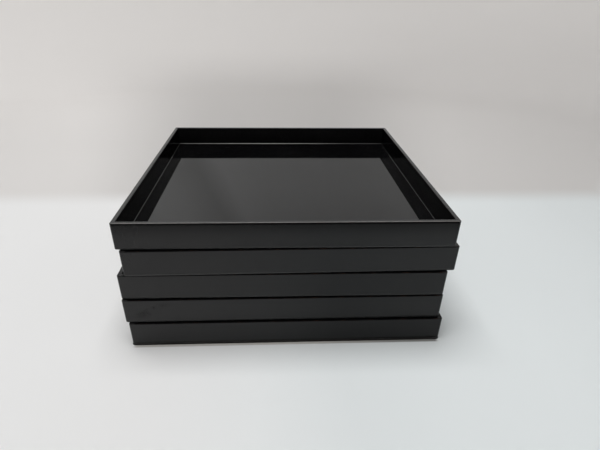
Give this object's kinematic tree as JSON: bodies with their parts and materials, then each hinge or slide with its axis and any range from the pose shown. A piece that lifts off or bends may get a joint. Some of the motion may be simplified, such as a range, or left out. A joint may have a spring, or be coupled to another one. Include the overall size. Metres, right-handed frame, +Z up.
{
  "type": "stacking lacquer tray set",
  "caption": "Stack of square black lacquered wooden meal trays with low mitred walls; each tray lifts off the one below.",
  "frame": {"origin": "centre of the lowest tray's underside, on the surface it stands on", "axes": "+X to the viewer's right along the lowest tray's front wall, +Y away from the viewer, +Z up through the stack"},
  "size_m": [0.3102, 0.31, 0.129],
  "materials": {
    "black_lacquer": "high gloss black lacquer over wood",
    "tongue_wood": "bare planed softwood"
  },
  "bodies": {
    "tray_1": {"tray_1_floor_board": "black_lacquer", "tray_1_front_wall": "black_lacquer", "tray_1_right_wall": "black_lacquer", "tray_1_back_wall": "black_lacquer", "tray_1_left_wall": "black_lacquer", "tray_1_corner_tongues": "tongue_wood"},
    "tray_2": {"tray_2_floor_board": "black_lacquer", "tray_2_front_wall": "black_lacquer", "tray_2_right_wall": "black_lacquer", "tray_2_back_wall": "black_lacquer", "tray_2_left_wall": "black_lacquer", "tray_2_corner_tongues": "tongue_wood"},
    "tray_3": {"tray_3_floor_board": "black_lacquer", "tray_3_front_wall": "black_lacquer", "tray_3_right_wall": "black_lacquer", "tray_3_back_wall": "black_lacquer", "tray_3_left_wall": "black_lacquer", "tray_3_corner_tongues": "tongue_wood"},
    "tray_4": {"tray_4_floor_board": "black_lacquer", "tray_4_front_wall": "black_lacquer", "tray_4_right_wall": "black_lacquer", "tray_4_back_wall": "black_lacquer", "tray_4_left_wall": "black_lacquer", "tray_4_corner_tongues": "tongue_wood"},
    "tray_5": {"tray_5_floor_board": "black_lacquer", "tray_5_front_wall": "black_lacquer", "tray_5_right_wall": "black_lacquer", "tray_5_back_wall": "black_lacquer", "tray_5_left_wall": "black_lacquer", "tray_5_corner_tongues": "tongue_wood"}
  },
  "joints": [
    {"name": "lift_tray_2", "type": "slide", "parent": "tray_1", "child": "tray_2", "axis": [0, 0, 1], "range_m": [0, 0.06]},
    {"name": "lift_tray_3", "type": "slide", "parent": "tray_2", "child": "tray_3", "axis": [0, 0, 1], "range_m": [0, 0.06]},
    {"name": "lift_tray_4", "type": "slide", "parent": "tray_3", "child": "tray_4", "axis": [0, 0, 1], "range_m": [0, 0.06]},
    {"name": "lift_tray_5", "type": "slide", "parent": "tray_4", "child": "tray_5", "axis": [0, 0, 1], "range_m": [0, 0.06]}
  ]
}
